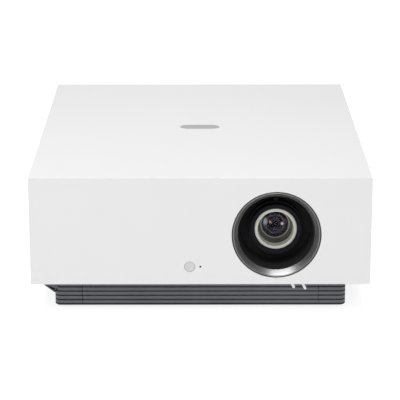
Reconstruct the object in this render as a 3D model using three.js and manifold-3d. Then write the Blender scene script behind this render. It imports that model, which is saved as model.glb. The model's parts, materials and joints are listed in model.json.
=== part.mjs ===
// Home projector: a white box with a recessed lens, standing on a dark louvred plinth.
// Millimetres, +Z up, front face towards -Y. The origin is the middle of the footprint, on the floor.

import * as THREE from "three";
import { mergeVertices } from "three/addons/utils/BufferGeometryUtils.js";
import Module from "manifold-3d";

const wasm = await Module();
wasm.setup();

// ---- driving dimensions ----

const width = 347;
const depth = 415;
const height = 145;
const bodyBottom = 32.6; // lower edge of the white body
const wall = 2.5; // sleeve walls
const panel = 3; // front and rear panels
const gap = 0.3; // between neighbouring pieces

const halfWidth = width / 2;
const halfDepth = depth / 2;
const trayBottom = bodyBottom + 1;
const trayTop = trayBottom + 2.5;

const plinthInset = { sides: 23, ends: 18 }; // how far the plinth stands in from the body
const plinthBottom = 3.1;
const plateEdgeTop = 4.4; // the base plate's thin rim
const plinthX = halfWidth - plinthInset.sides;
const plinthY = halfDepth - plinthInset.ends;
const plinthCorner = 6.5;
const seamX = 122; // where the front louvre meets the side louvres

const slatPitch = 4.65;
const slatHeight = 3.45;
const firstSlat = plateEdgeTop + 1;
const louvreBottom = plateEdgeTop + gap;
const slatCount = 5;
const slatDepth = 3;
const louvreTop = trayBottom - gap;

const lensX = 77.3;
const lensZ = 85.2;
const bezelRadius = 45.4;
const recessRadius = 39.2; // where the bezel's cone ends
const shiftUp = 3.5; // lens shift each way
const shiftSide = 2.5;
const carriageBore = 25.2 + Math.hypot(shiftUp, shiftSide);
const cellRadius = 21.8; // the sliding lens cells
const barrelBore = cellRadius + gap;

const leverSlant = 27; // degrees from straight down
const leverZ = 38; // height of the levers' pivots
const leverY = [-200, -194.4];
const levers = {
  vertical: { x: 90.1, reach: 13.2 },
  horizontal: { x: 101.1, reach: 14.7 },
};

const footX = 122;
const footY = 150;
const footRadius = 14;

const fanSize = 80;
const fanDepth = 25;

const boardTop = 45.6; // top of the main board, under the ports
const socketFace = 199.5; // rear faces of the ports

const joystickX = 125;
const joystickZ = 110;
const joystickPivot = 193; // Y of the gimbal's centre

// ---- finishes ----

function finish(color, roughness, metalness = 0) {
  return new THREE.MeshStandardMaterial({ color, roughness, metalness });
}

const whitePlastic = finish(0xededec, 0.45);
const darkPlastic = finish(0x56565b, 0.55);
const blackPlastic = finish(0x18181a, 0.7);
const satinSilver = finish(0x9a9a9a, 0.3, 1);
const greyPrint = finish(0x8a8b8c, 0.4);
const windowPlastic = finish(0xcbcbcb, 0.25);
const lensGlass = finish(0x1c2030, 0.02);
const castMetal = finish(0x8f9194, 0.5, 1);
const aluminium = finish(0xb4b6b9, 0.4, 1);
const boardGreen = finish(0x1d5a35, 0.6);
const steelShell = finish(0xa7a9ab, 0.3, 1);
const rubber = finish(0x2a2a2b, 0.9);

// ---- solids ----

function solid(geometry) {
  const bare = geometry.clone();
  bare.deleteAttribute("normal");
  bare.deleteAttribute("uv");
  const merged = mergeVertices(bare, 1e-4);
  const corners = new Uint32Array(merged.index.array);
  const build = () =>
    new wasm.Manifold(
      new wasm.Mesh({
        numProp: 3,
        vertProperties: merged.attributes.position.array,
        triVerts: corners,
      }),
    );
  const made = build();
  if (made.volume() > 0) return made;
  for (let i = 0; i < corners.length; i += 3) {
    [corners[i + 1], corners[i + 2]] = [corners[i + 2], corners[i + 1]];
  }
  return build();
}

function geometryOf(manifold) {
  const mesh = manifold.getMesh();
  const geometry = new THREE.BufferGeometry();
  geometry.setAttribute("position", new THREE.BufferAttribute(mesh.vertProperties, 3));
  geometry.setIndex(new THREE.BufferAttribute(mesh.triVerts, 1));
  geometry.computeVertexNormals();
  return geometry;
}

function block(x, y, z) {
  const box = new THREE.BoxGeometry(x[1] - x[0], y[1] - y[0], z[1] - z[0]);
  return solid(box.translate((x[0] + x[1]) / 2, (y[0] + y[1]) / 2, (z[0] + z[1]) / 2));
}

// A block given by its middle and its size.
function centred(middle, size) {
  const box = new THREE.BoxGeometry(...size);
  return solid(box.translate(...middle));
}

function shapeOf(points) {
  return new THREE.Shape(points.map(([u, v]) => new THREE.Vector2(u, v)));
}

function extrude(shape, length, curveSegments = 6) {
  return new THREE.ExtrudeGeometry(shape, { depth: length, bevelEnabled: false, curveSegments });
}

// An outline of [x, y] points, raised from z0 to z1.
function slab(shape, z0, z1, curveSegments) {
  return solid(extrude(shape, z1 - z0, curveSegments).translate(0, 0, z0));
}

// An outline of [x, z] points, run from y0 to y1.
function alongY(shape, y0, y1, curveSegments) {
  return solid(extrude(shape, y1 - y0, curveSegments).rotateX(Math.PI / 2).translate(0, y1, 0));
}

// An outline of [y, z] points, run from x0 to x1.
function alongX(points, x0, x1) {
  const shape = shapeOf(points.map(([y, z]) => [-z, y]));
  return solid(extrude(shape, x1 - x0).rotateY(Math.PI / 2).translate(x0, 0, 0));
}

// A profile of [radius, height] points turned about the Y axis.
function turnedGeometry(profile, segments) {
  return new THREE.LatheGeometry(profile.map(([r, h]) => new THREE.Vector2(r, h)), segments);
}

function turned(profile, segments = 32) {
  return solid(turnedGeometry(profile, segments));
}

// The same, standing upright.
function upright(profile, segments = 24) {
  return solid(turnedGeometry(profile, segments).rotateX(Math.PI / 2));
}

function disc(radius, y0, y1, segments = 32) {
  return turned([[0, y0], [radius, y0], [radius, y1], [0, y1]], segments);
}

function tube(inner, outer, y0, y1, segments = 32) {
  return turned([[inner, y0], [outer, y0], [outer, y1], [inner, y1], [inner, y0]], segments);
}

function post(radius, z0, z1, segments = 20) {
  return upright([[0, z0], [radius, z0], [radius, z1], [0, z1]], segments);
}

// Legs that stand on the tray, one at each crossing of the given xs and ys.
function standoffs(xs, ys, radius, top) {
  return xs.flatMap((x) => ys.map((y) => post(radius, trayTop + gap, top, 10).translate([x, y, 0])));
}

function roundedRectangle(halfX, halfY, radius) {
  const shape = new THREE.Shape();
  shape.moveTo(halfX, -halfY + radius);
  shape.lineTo(halfX, halfY - radius);
  shape.absarc(halfX - radius, halfY - radius, radius, 0, Math.PI / 2);
  shape.lineTo(-halfX + radius, halfY);
  shape.absarc(-halfX + radius, halfY - radius, radius, Math.PI / 2, Math.PI);
  shape.lineTo(-halfX, -halfY + radius);
  shape.absarc(-halfX + radius, -halfY + radius, radius, Math.PI, Math.PI * 1.5);
  shape.lineTo(halfX - radius, -halfY);
  shape.absarc(halfX - radius, -halfY + radius, radius, Math.PI * 1.5, Math.PI * 2);
  return shape;
}

function joined(pieces) {
  return pieces.reduce((whole, piece) => whole.add(piece));
}

function without(whole, holes) {
  return holes.reduce((left, hole) => left.subtract(hole), whole);
}

function inOrder(a, b) {
  return a < b ? [a, b] : [b, a];
}

function range(count) {
  return Array.from({ length: count }, (_, i) => i);
}

// ---- the tree that the named meshes hang in ----

const projector = new THREE.Group();
const lensAxis = new THREE.Group(); // local Y is the depth behind the front face
lensAxis.position.set(lensX, -halfDepth, lensZ);
projector.add(lensAxis);

function put(name, manifold, material, position = [0, 0, 0], parent = projector) {
  const mesh = new THREE.Mesh(geometryOf(manifold), material);
  mesh.name = name;
  mesh.position.set(...position);
  parent.add(mesh);
  return mesh;
}

// ---- white body ----

const badge = { halfX: 21.5, halfY: 8.5, thickness: 0.6 };

function bodySleeve() {
  const top = height - wall;
  const inner = halfWidth - wall;
  const outline = shapeOf([
    [-halfWidth, bodyBottom],
    [-inner, bodyBottom],
    [-inner, top],
    [inner, top],
    [inner, bodyBottom],
    [halfWidth, bodyBottom],
    [halfWidth, height],
    [-halfWidth, height],
  ]);
  const end = halfDepth - panel - gap;
  const ribs = [-70, 70].map((y) => block([-inner, inner], [y - 0.8, y + 0.8], [top - 5, top]));
  const pocket = slab(
    roundedRectangle(badge.halfX + gap, badge.halfY + gap, badge.halfY + gap - 0.01),
    height - badge.thickness - gap,
    height + 1,
  );
  return joined([alongY(outline, -end, end), ...ribs]).subtract(pocket);
}

function topBadge() {
  const outline = roundedRectangle(badge.halfX, badge.halfY, badge.halfY - 0.01);
  return slab(outline, height - badge.thickness, height);
}

// The stiffening lip inside a panel, a frame that slips into the sleeve.
function panelLip(y0, y1) {
  const x = halfWidth - wall - 2 * gap;
  const z = [trayTop + 0.8, height - wall - 2 * gap];
  const thick = 2;
  const outer = block([-x, x], [y0, y1], z);
  const hollow = block([-x + thick, x - thick], [y0 - 1, y1 + 1], [z[0] + thick, z[1] - thick]);
  return outer.subtract(hollow);
}

const eyeX = -10.8; // remote receiver window
const eyeZ = 51.4;
const eyeRadius = 5.3;
const sensorRadius = 0.9;

function frontPanel() {
  const face = block([-halfWidth, halfWidth], [-halfDepth, -halfDepth + panel], [bodyBottom, height]);
  const lip = panelLip(-halfDepth + panel - 0.5, -halfDepth + 10.5);
  const lensHole = disc(bezelRadius + gap, -1, panel + 1, 48).translate([lensX, -halfDepth, lensZ]);
  const lensRoom = disc(50, panel, 20, 24).translate([lensX, -halfDepth, lensZ]);
  const eyeHole = disc(eyeRadius + gap, -1, panel + 1, 20).translate([eyeX, -halfDepth, eyeZ]);
  const sensorHole = disc(sensorRadius + gap, -1, panel + 1, 10).translate([0, -halfDepth, eyeZ]);
  const leverRoom = block([80, 113], [-halfDepth + panel, -192], [bodyBottom, 45]);
  const bottomNotch = centred([lensX, -halfDepth, lensZ - bezelRadius - gap], [2.2, 2, 1.6]);
  const whole = joined([face, without(lip, [lensRoom, leverRoom])]);
  return without(whole, [lensHole, bottomNotch, eyeHole, sensorHole]);
}

// ---- rear panel, with its cut-outs ----

const bay = { x: [-15, 152], z: [40, 70], front: 196.5 };
const inlet = { x: -50, z: 53, halfX: 14.5, halfZ: 10.5 };
const exhaust = { x: -120, z: 92 };
const joystickHole = 10;

// Upright slots side by side, cut right through the rear panel.
function slotRow(middle, count, slotWidth, pitch, halfTall) {
  const y = [halfDepth - panel - 1, halfDepth + 1];
  return joined(
    range(count).map((i) => {
      const x = middle.x + (i - (count - 1) / 2) * pitch;
      return block([x - slotWidth / 2, x + slotWidth / 2], y, [middle.z - halfTall, middle.z + halfTall]);
    }),
  );
}

function rearPanel() {
  const y = [halfDepth - panel, halfDepth];
  const face = block([-halfWidth, halfWidth], y, [bodyBottom, height]);
  const lip = panelLip(halfDepth - 10.5, halfDepth - panel + 0.5);
  const through = [y[0] - 12, y[1] + 1];
  const bayHole = block(bay.x, through, bay.z);
  const inletHole = block(
    [inlet.x - inlet.halfX, inlet.x + inlet.halfX],
    through,
    [inlet.z - inlet.halfZ, inlet.z + inlet.halfZ],
  );
  const stickHole = disc(joystickHole + gap, through[0], through[1], 24).translate([joystickX, 0, joystickZ]);
  const lockSlot = block([161, 164], [y[0] - 1, y[1] + 1], [52, 59]);
  const exhaustSlots = slotRow(exhaust, 12, 3.4, 6.4, 34);
  const speakerSlots = Object.values(speakers).map(({ x }) => slotRow({ x, z: speakerZ }, 8, 2.4, 6, 18));
  return without(face.add(lip), [bayHole, inletHole, stickHole, lockSlot, exhaustSlots, ...speakerSlots]);
}

// ---- tray that closes the body from below ----

function bottomTray() {
  const x = halfWidth - wall - gap;
  const y = halfDepth - panel - gap;
  const plate = block([-x, x], [-y, y], [trayBottom, trayTop]);
  const airWindows = [-1, 1].flatMap((side) =>
    [-95, 0, 95].map((middle) => centred([side * 118, middle, trayTop], [34, 70, 20])),
  );
  const slotX = [levers.vertical.x - 5, levers.horizontal.x + 11];
  const bracketX = [levers.vertical.x - 3, levers.horizontal.x + 4];
  const leverSlot = block(slotX, [leverY[0] - 0.8, leverY[1] + 0.8], [trayBottom - 1, trayTop + 1]);
  const brackets = [
    [leverY[0] - 2, leverY[0] - gap],
    [leverY[1] + gap, leverY[1] + 2],
  ].map((y) => block(bracketX, y, [trayBottom, leverZ + 2.1]));
  const pinHoles = Object.values(levers).map(({ x: pivotX }) =>
    disc(1.2, leverY[0] - 5, leverY[1] + 5, 10).translate([pivotX, 0, leverZ]),
  );
  return without(joined([without(plate, [...airWindows, leverSlot]), ...brackets]), pinHoles);
}

// ---- plinth ----

function basePlate() {
  const chamfer = 1;
  const outline = roundedRectangle(plinthX - chamfer, plinthY - chamfer, plinthCorner - chamfer);
  const rim = new THREE.ExtrudeGeometry(outline, {
    depth: 5,
    bevelEnabled: true,
    bevelThickness: chamfer,
    bevelSize: chamfer,
    bevelSegments: 1,
    curveSegments: 4,
  }).translate(0, 0, plinthBottom + chamfer);
  const edge = solid(rim).subtract(block([-200, 200], [-220, 220], [plateEdgeTop, 40]));
  const insetFloor = slatDepth + 4;
  const floor = block(
    [-plinthX + insetFloor, plinthX - insetFloor],
    [-plinthY + insetFloor, plinthY - insetFloor],
    [plateEdgeTop - 0.5, 7],
  );
  const footSpots = [-1, 1].map((side) => [side * footX, -footY, 0]);
  const footBosses = footSpots.map((spot) => post(9, plinthBottom + 0.5, 27, 16).translate(spot));
  const footBores = footSpots.map((spot) => post(5.3, 0, 25, 16).translate(spot));
  const inserts = ceilingPoints().map((spot) => post(6, plinthBottom - 0.5, 14, 12).translate(spot));
  const screwHoles = ceilingPoints().map((spot) => post(2, 0, 12, 8).translate(spot));
  const whole = joined([edge, floor, ...footBosses, ...inserts]);
  return without(whole, [...footBores, ...screwHoles]);
}

function ceilingPoints() {
  return [-1, 1].flatMap((sx) => [-1, 1].map((sy) => [sx * 75, sy * 110, 0]));
}

function slatLevels() {
  const slats = range(slatCount).map((i) => {
    const low = firstSlat + i * slatPitch;
    return [low, low + slatHeight];
  });
  return [...slats, [firstSlat + slatCount * slatPitch, louvreTop]];
}

// Front and rear: slats in front of a solid backing wall.
function straightLouvre(side) {
  const half = seamX - gap / 2;
  const face = side * plinthY;
  const slatBack = face - side * slatDepth;
  const slats = slatLevels().map((z) => block([-half, half], inOrder(face, slatBack), z));
  const backY = inOrder(slatBack + side * 0.9, slatBack - side * 1.6);
  const backing = block([-half, half], backY, [louvreBottom, louvreTop]);
  return joined([...slats, backing]);
}

// The C-shaped run of wall round the left end, from the front seam to the rear seam.
function endRun(outer, inner, z0, z1) {
  const ring = roundedRectangle(plinthX - outer, plinthY - outer, plinthCorner - outer);
  ring.holes.push(roundedRectangle(plinthX - inner, plinthY - inner, Math.max(plinthCorner - inner, 1)));
  const keep = block([-plinthX - 1, -seamX - gap / 2], [-halfDepth, halfDepth], [z0 - 1, z1 + 1]);
  return slab(ring, z0, z1, 4).intersect(keep);
}

function endLouvre() {
  const slats = slatLevels().map(([z0, z1]) => endRun(0, slatDepth, z0, z1));
  const ribCount = 5;
  const ribSpan = 2 * (plinthY - 40);
  const ribX = [-plinthX + slatDepth - 0.9, -plinthX + slatDepth + 1.6];
  const ribs = range(ribCount).map((i) => {
    const y = -ribSpan / 2 + (ribSpan * i) / (ribCount - 1);
    return block(ribX, [y - 1, y + 1], [louvreBottom, louvreTop]);
  });
  const openStretch = block([-halfWidth, halfWidth], [-plinthY + 14, plinthY - 14], [0, 60]);
  const backing = endRun(slatDepth - 0.9, slatDepth + 1.6, louvreBottom, louvreTop).subtract(openStretch);
  return joined([...slats, backing, ...ribs]);
}

// A hood down the left side, from the body's lower edge to the plinth, that turns the warm air downwards.
// A thin sloping plate carries it, and each end is closed by a cap with a tapered shadow gap under it.
function airHood() {
  const x = [-halfWidth + wall + 2 * gap, -plinthX - gap, -plinthX + plinthCorner + 1.5];
  const top = trayBottom - gap;
  const ceiling = top - 1.6;
  const low = 17.3;
  const plate = 1.3;
  const slope = (top - 0.9 - low) / (x[1] - x[0]);
  const crest = x[1] - (ceiling - low - plate) / slope;
  const profile = shapeOf([
    [x[0], top],
    [x[0], top - 0.9],
    [x[1], low],
    [x[2], low],
    [x[2], low + plate],
    [x[1], low + plate],
    [crest, ceiling],
    [x[2], ceiling],
    [x[2], top],
  ]);
  const capEdge = { left: 27, right: 19.4, from: -halfWidth + 9.3 };
  const cap = shapeOf([
    [capEdge.from - 5, ceiling + 0.5],
    [capEdge.from, capEdge.left],
    [x[2], capEdge.right],
    [x[2], ceiling + 0.5],
  ]);
  const overlap = 0.5; // how far the cap reaches into the plate
  const underPlate = shapeOf([
    [x[0] - 10, top - 0.9 + overlap + 10 * slope],
    [x[0] - 10, 0],
    [x[2] + 1, 0],
    [x[2] + 1, low + overlap],
    [x[1], low + overlap],
  ]);
  const backWall = shapeOf([
    [crest - 0.4, ceiling + 0.4],
    [x[1] - 0.4, low + plate - overlap],
    [x[2] - 0.3, low + plate - overlap],
    [x[2] - 0.3, ceiling + 0.4],
  ]);
  const end = plinthY - 0.5;
  const caps = [-1, 1].flatMap((face) => [
    alongY(cap, ...inOrder(face * end, face * (end - 2))).subtract(alongY(underPlate, -halfDepth, halfDepth)),
    alongY(backWall, ...inOrder(face * (end - 5), face * (end - 6.5))),
  ]);
  const slots = range(6).map((i) => {
    const y = -plinthY + 45 + i * 55;
    return block([x[0] + 9, x[0] + 12.4], [y, y + 46], [low - 2, ceiling - 0.8]);
  });
  const plinth = slab(roundedRectangle(plinthX + gap, plinthY + gap, plinthCorner + gap), 0, 60, 4);
  return without(joined([alongY(profile, -end, end), ...caps]), [...slots, plinth]);
}

// ---- front: bezel, recess, windows ----

function lensBezel() {
  return turned(
    [
      [bezelRadius - 0.9, 0],
      [bezelRadius, 0],
      [bezelRadius, panel + gap],
      [bezelRadius + 2, panel + gap],
      [bezelRadius + 2, panel + gap + 1.4],
      [recessRadius + 1.9, 9],
      [recessRadius, 8],
      [bezelRadius - 1.5, 0.7],
      [bezelRadius - 0.9, 0],
    ],
    48,
  );
}

function lensRecess() {
  const start = 8.7;
  const end = 35;
  const mouth = recessRadius - 0.2;
  const throat = 37;
  const skin = 1.8;
  return turned(
    [
      [mouth, start],
      [mouth + skin, start + 0.8],
      [mouth + skin + 4, start + 0.8],
      [mouth + skin + 4, start + 2.6],
      [mouth + skin, start + 2.6],
      [throat + skin, end],
      [throat, end],
      [mouth, start],
    ],
    36,
  );
}

// ---- lens, on its own axis ----

// A pale ring with a sloping face holds the glass, and steps down behind it to stop stray light.
function frontCell() {
  const front = 20.2;
  const seat = [24.2, 30];
  const stepRadii = [17.6, 16.2, 14.9, 13.8];
  const stepLength = 2.5;
  const rear = seat[1] + stepRadii.length * stepLength;
  const steps = stepRadii
    .flatMap((r, i) => [[r, seat[1] + i * stepLength], [r, seat[1] + (i + 1) * stepLength]])
    .reverse();
  const inside = [...steps, [19.8, seat[1]], [19.8, seat[0]], [18.4, seat[0]], [18.4, front + 2.4]];
  return turned([[21.3, front], [cellRadius, front + 0.4], [cellRadius, rear], ...inside, [21.3, front]], 28);
}

// A lens blank: spherical front and rear caps, given by how far each bulges forward.
function lensBlank(radius, front, rear, frontBulge, rearBulge, segments) {
  const steps = 3;
  const cap = (edge, bulge) =>
    range(steps + 1).map((i) => {
      const r = (radius * i) / steps;
      return [r, edge - bulge * (1 - (r / radius) ** 2)];
    });
  return turned([...cap(front, frontBulge), ...cap(rear, rearBulge).reverse()], segments);
}

function lensBarrel() {
  return turned(
    [
      [barrelBore, 21],
      [24.9, 21],
      [24.9, 91],
      [34, 91],
      [34, 95.7],
      [24.9, 95.7],
      [24.9, 110],
      [10.3, 110],
      [10.3, 95],
      [13, 95],
      [13, 80],
      [barrelBore, 80],
      [barrelBore, 21],
    ],
    28,
  );
}

function focusRing() {
  const lip = [[barrelBore, 19], [26, 19], [26.6, 19.6], [26.6, 27.4]];
  return turned([...lip, [25.2, 27.4], [25.2, 20.7], [barrelBore, 20.7], [barrelBore, 19]], 32);
}

function zoomRing() {
  const lever = centred([0, 31.5, 28.4], [5, 4, 5]);
  return tube(25.2, 28, 28.5, 35, 32).add(lever.subtract(disc(26, 20, 40)));
}

function zoomCell() {
  const bore = [[9, 66], [9, 59.5], [13.2, 59.5], [13.2, 47.5], [14.6, 46]];
  return turned([...bore, [cellRadius, 46], [cellRadius, 66], [9, 66]], 24);
}

// ---- lens shift: a fixed base, an up-and-down carriage and a sideways carriage ----

const shiftBase = { front: 112, back: 117, halfX: 54, halfZ: 44 };

function shiftBasePlate() {
  const { front, back, halfX, halfZ } = shiftBase;
  const plate = block([-halfX, halfX], [front, back], [-halfZ, halfZ]);
  const rails = [-1, 1].map((side) => centred([side * 51, 108, 0], [5, 10, 2 * halfZ]));
  const leg = block([-40, 40], [front, back], [trayTop + gap - lensZ, -halfZ + 1]);
  return joined([plate, ...rails, leg]).subtract(disc(carriageBore, 90, 130, 28));
}

function verticalCarriage() {
  const plate = block([-48, 48], [104, 109], [-39.5, 39.5]);
  const rails = [-1, 1].map((side) => centred([0, 100.5, side * 37.5], [92, 9, 4]));
  return joined([plate, ...rails]).subtract(disc(carriageBore, 90, 130, 28));
}

function horizontalCarriage() {
  const plate = block([-42, 42], [96.2, 101], [-35, 35]);
  return plate.subtract(disc(25.3, 90, 130, 28));
}

// A thumb lever on a pin along Y: a round hub, and a finger with a rounded tip that hangs down.
function shiftLever(reach) {
  const halfFinger = 1.25;
  const fingerY = [leverY[0] + 1.2, leverY[1] - 1.2];
  const hub = disc(3.1, leverY[0], leverY[1], 18);
  const pin = disc(1, leverY[0] - 1.8, leverY[1] + 1.8, 10);
  const outline = new THREE.Shape();
  outline.moveTo(halfFinger, 0);
  outline.lineTo(-halfFinger, 0);
  outline.lineTo(-halfFinger, -reach);
  outline.absarc(0, -reach, halfFinger, Math.PI, 2 * Math.PI);
  return joined([hub, pin, alongY(outline, fingerY[0], fingerY[1], 8)]);
}

// ---- light engine ----

function engineHousing() {
  const body = block([25, 130], [-89, -4], [44, 124]);
  const lid = block([29, 126], [-84, -9], [123.5, 127]);
  const legs = standoffs([34, 121], [-78, -14], 5, 45);
  const lightPort = disc(18, -140, -60, 24).translate([lensX, 0, lensZ]);
  const wheelPort = centred([24, -45, lensZ], [20, 24, 24]);
  return joined([body, lid, ...legs]).subtract(lightPort).subtract(wheelPort);
}

function phosphorWheel() {
  const wheel = new THREE.CylinderGeometry(26, 26, 1.2, 32).rotateZ(Math.PI / 2);
  const hub = new THREE.CylinderGeometry(9, 9, 6, 20).rotateZ(Math.PI / 2);
  return solid(wheel).add(solid(hub));
}

function laserModule() {
  const body = block([-52, 10], [-72, -10], [52, 116]);
  const diodeCaps = [-54, -28].flatMap((y) => [68, 100].map((z) => centred([10.5, y, z], [2, 16, 16])));
  const foot = block([-45, 5], [-66, -16], [trayTop + gap, 52.5]);
  return joined([body, ...diodeCaps, foot]);
}

function laserHeatsink() {
  const finCount = 9;
  const finPitch = 9.4;
  const base = block([-57, -52 - gap], [-80, 0], [46, 126]);
  const fins = range(finCount).map((i) => centred([-103, -40, 47.8 + i * finPitch], [94, 80, 1.6]));
  const pipes = [-60, -20].map((y) => centred([-120, y, 86], [5, 5, 78]));
  return joined([base, ...fins, ...pipes]);
}

function mirrorChipBoard() {
  const card = block([40, 116], [0, 1.6], [50, 118]);
  const sink = block([58, 98], [1, 6], [64, 104]);
  const fins = range(6).map((i) => block([58 + i * 7.4, 60.6 + i * 7.4], [5.5, 18], [64, 104]));
  return joined([card, sink, ...fins]);
}

// ---- fans: frame and rotor, blowing along Y ----

function fanFrame() {
  const half = fanSize / 2;
  const box = centred([0, 0, 0], [fanSize, fanDepth, fanSize]);
  const duct = disc(38, -fanDepth, fanDepth, 32);
  const motorCup = disc(15, 8.7, fanDepth / 2, 20);
  const spokes = [0, 1].map((i) =>
    centred([0, 10.6, 0], i ? [5, 3.4, 2 * half - 4] : [2 * half - 4, 3.4, 5]),
  );
  return joined([box.subtract(duct), motorCup, ...spokes]);
}

function fanRotor() {
  const bladeCount = 7;
  const hub = disc(15, -10, 7.5, 20);
  const blades = range(bladeCount).map((i) => {
    const blade = new THREE.BoxGeometry(24, 1.4, 18);
    blade.rotateX(THREE.MathUtils.degToRad(40));
    blade.translate(25, -1, 0);
    blade.rotateY((2 * Math.PI * i) / bladeCount);
    return solid(blade);
  });
  return joined([hub, ...blades]);
}

// ---- boards and ports ----

function mainBoard() {
  const card = block([-25, 162], [60, 196.5 - 2 * gap], [boardTop - 1.6, boardTop]);
  const chips = [
    [20, 100, 34, 5],
    [80, 95, 40, 12],
    [130, 110, 24, 4],
    [60, 140, 20, 3],
    [120, 150, 26, 6],
  ].map(([x, y, size, tall]) => centred([x, y, boardTop + tall / 2 - 0.2], [size, size, tall]));
  const legs = standoffs([-15, 152], [70, 185], 3, boardTop - 1);
  return joined([card, ...chips, ...legs]);
}

function powerBoard() {
  const card = block([-160, -45], [28, 160], [42, 44]);
  const transformer = block([-120, -80], [85, 125], [43.5, 76]);
  const coil = block([-150, -128], [40, 62], [43.5, 66]);
  const coolingPlate = block([-72, -68], [60, 140], [43.5, 80]);
  const capacitors = [60, 84, 108].map((y) => post(10, 43.5, 74, 14).translate([-143, y + 20, 0]));
  const legs = standoffs([-154, -51], [34, 154], 3, 42.5);
  return joined([card, transformer, coil, coolingPlate, ...capacitors, ...legs]);
}

// One connector shell, standing on the board: x is its middle, w and h its outside, w2 and h2 its mouth.
const ports = {
  lan_port: { x: 6, w: 16.4, h: 14, w2: 12.4, h2: 9, material: steelShell },
  hdmi_port_1: { x: 34, w: 16.4, h: 7.4, w2: 14.4, h2: 5.2, material: steelShell },
  hdmi_port_2: { x: 60, w: 16.4, h: 7.4, w2: 14.4, h2: 5.2, material: steelShell },
  usb_port: { x: 92, w: 14.6, h: 7.6, w2: 12.8, h2: 5.6, material: steelShell },
  optical_audio_port: { x: 124, w: 10, h: 10, w2: 6.4, h2: 6.4, material: blackPlastic },
};
const socketFloor = boardTop + gap;
const socketDepth = 12;

function portShell({ w, h, w2, h2 }) {
  const shell = block([-w / 2, w / 2], [-15.5, 0], [0, h]);
  const mouth = block([-w2 / 2, w2 / 2], [-socketDepth, 1], [(h - h2) / 2, (h + h2) / 2]);
  return shell.subtract(mouth);
}

const jack = { x: 141, radius: 3.4, bore: 1.8, z: 6 };

function headphoneJack() {
  const body = block([-5, 5], [-15.5, -4.5], [0, 11]);
  const nose = disc(jack.radius, -5, 0, 20).translate([0, 0, jack.z]);
  return body.add(nose).subtract(disc(jack.bore, -13, 1, 14).translate([0, 0, jack.z]));
}

function ioBay() {
  const x = [bay.x[0] + gap, bay.x[1] - gap];
  const z = [bay.z[0] + gap, bay.z[1] - gap];
  const y = [bay.front, halfDepth - gap];
  const skin = 2;
  const tub = block(x, y, z).subtract(
    block([x[0] + skin, x[1] - skin], [y[0] + skin, y[1] + 1], [z[0] + skin, z[1] - skin]),
  );
  const cuts = Object.values(ports).map(({ x: px, w, h }) =>
    block([px - w / 2 - gap, px + w / 2 + gap], [190, 199], [socketFloor - gap, socketFloor + h + gap]),
  );
  const jackCut = disc(jack.radius + gap, 190, 199, 20).translate([jack.x, 0, socketFloor + jack.z]);
  return without(tub, [...cuts, jackCut]);
}

// Three-pin mains inlet, its mouth flush with the rear panel.
function mainsInlet() {
  const halfX = inlet.halfX - gap;
  const halfZ = inlet.halfZ - gap;
  const body = block([-halfX, halfX], [-27, 0], [-halfZ, halfZ]);
  const mouth = block([-12.2, 12.2], [-17, 1], [-8.4, 8.4]);
  const pins = [[-7, -2], [7, -2], [0, 2.5]].map(([px, pz]) => centred([px, -11.5, pz], [2, 13, 4]));
  return joined([body.subtract(mouth), ...pins]);
}

// ---- speakers ----

const speakers = { left: { x: -28 }, right: { x: 72 } };
const speakerZ = 105;

// A closed box with its driver facing +Y, hung from the rear panel by an ear at each side.
function speakerBox() {
  const box = block([-35, 35], [-38, -6], [-29, 29]);
  const ears = block([-43, 43], [-9, -6], [-6, 6]).add(
    joined([-40, 40].map((ex) => centred([ex, -4, 0], [6, 8, 6]))),
  );
  const rim = disc(26, -6.5, -3.4, 24);
  const cone = turned([[0, -12], [8, -12], [22, -4], [22, 1], [0, 1]], 24);
  return joined([box, ears, rim]).subtract(cone);
}

// ---- joystick on the rear panel, its stem along Y ----

function joystickHousing() {
  const floor = joystickPivot - 6;
  const lip = halfDepth - gap;
  return turned(
    [
      [0, floor],
      [joystickHole, floor],
      [joystickHole, lip],
      [joystickHole - 1.2, lip],
      [joystickHole - 1.2, floor + 2],
      [0, floor + 2],
    ],
    24,
  );
}

// The ring tips about X on two pivots, and the stem tips about Z inside it.
function joystickGimbal() {
  const ring = tube(5.6, 7.6, joystickPivot - 2, joystickPivot + 2, 20);
  const pivots = [-1, 1].map((side) => centred([side * 7.9, joystickPivot, 0], [1.2, 2, 2]));
  return joined([ring, ...pivots]);
}

function joystickStem() {
  const rod = disc(1.8, joystickPivot - 1.5, 203.4, 14);
  const crossBar = centred([0, joystickPivot, 0], [3, 3, 9.6]);
  return rod.add(crossBar);
}

function joystickCap() {
  const top = halfDepth - gap;
  const profile = [[0, 204.6], [6.1, 204.6], [6.6, 205.2], [6.6, 206.4], [6, top], [0, top - 0.5]];
  const button = turned(profile, 20);
  return button.add(tube(2.1, 3.6, 199, 205, 12));
}

// ---- feet ----

function footDisc() {
  const rim = [[0, 0], [footRadius - 0.8, 0], [footRadius, 0.8], [footRadius, 2.7]];
  return upright([...rim, [5.3, 2.7], [5.3, 1.3], [0, 1.3]], 20);
}

function rearFoot() {
  return upright([[0, 0], [11.2, 0], [12, 0.8], [12, 2.8], [0, 2.8]], 20);
}

// ---- assembly ----

put("body_sleeve", bodySleeve(), whitePlastic);
put("front_panel", frontPanel(), whitePlastic);
put("rear_panel", rearPanel(), whitePlastic);
put("top_badge", topBadge(), greyPrint);
put("bottom_tray", bottomTray(), darkPlastic);

put("plinth_base_plate", basePlate(), darkPlastic);
put("front_louvre", straightLouvre(-1), darkPlastic);
put("rear_louvre", straightLouvre(1), darkPlastic);
put("left_louvre", endLouvre(), darkPlastic);
put("right_louvre", endLouvre(), darkPlastic).rotation.z = Math.PI;
put("left_air_hood", airHood(), darkPlastic);

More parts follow.
